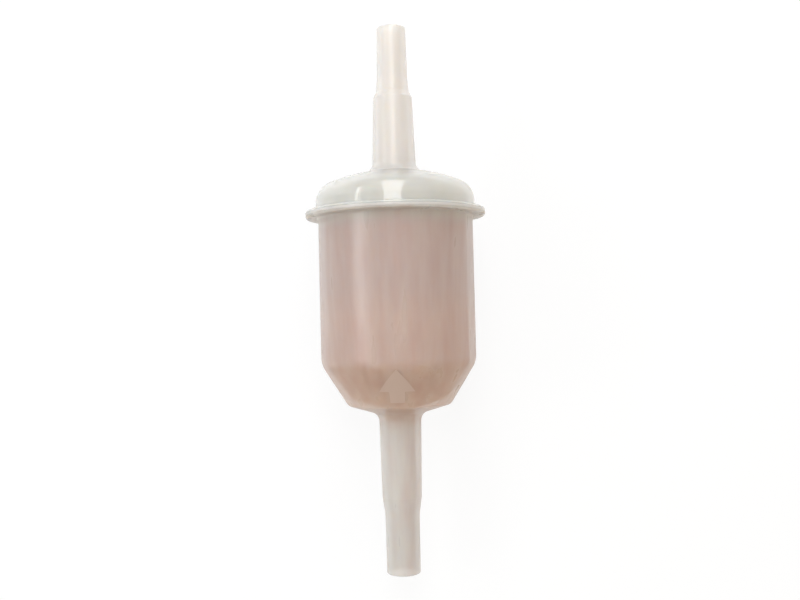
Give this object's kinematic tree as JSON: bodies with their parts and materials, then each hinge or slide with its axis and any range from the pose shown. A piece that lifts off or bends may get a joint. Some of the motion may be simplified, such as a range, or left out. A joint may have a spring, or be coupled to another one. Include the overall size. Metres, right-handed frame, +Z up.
{
  "type": "inline fuel filter",
  "caption": "Inline fuel filter: a milky plastic cup and lid welded at a flange round a pleated paper element, with a stepped hose spigot at each end.",
  "frame": {"origin": "on the floor, under the middle of the filter as it lies", "axes": "+Y runs along the filter towards the outlet and the lid, +Z is up and the flow arrow faces it, +X is to the right of the arrow. The filter lies on its flange and on the lower edge of its cup, so its own axis rises 5.1 degrees towards the outlet."},
  "size_m": [0.0358, 0.1092, 0.0358],
  "materials": {
    "cup_plastic": "milky translucent moulded nylon, satin gloss",
    "lid_plastic": "milky translucent moulded nylon, satin gloss",
    "paper": "resin-treated filter paper",
    "end_cap": "cast end cap",
    "adhesive": "set adhesive",
    "core_plastic": "moulded plastic",
    "seal_rubber": "fuel-proof rubber"
  },
  "bodies": {
    "root": {"housing_cup": "cup_plastic", "housing_lid": "lid_plastic", "filter_paper": "paper", "element_lower_cap": "end_cap", "element_upper_cap": "end_cap", "lower_adhesive": "adhesive", "upper_adhesive": "adhesive", "support_core": "core_plastic", "outlet_seal": "seal_rubber"}
  },
  "joints": []
}
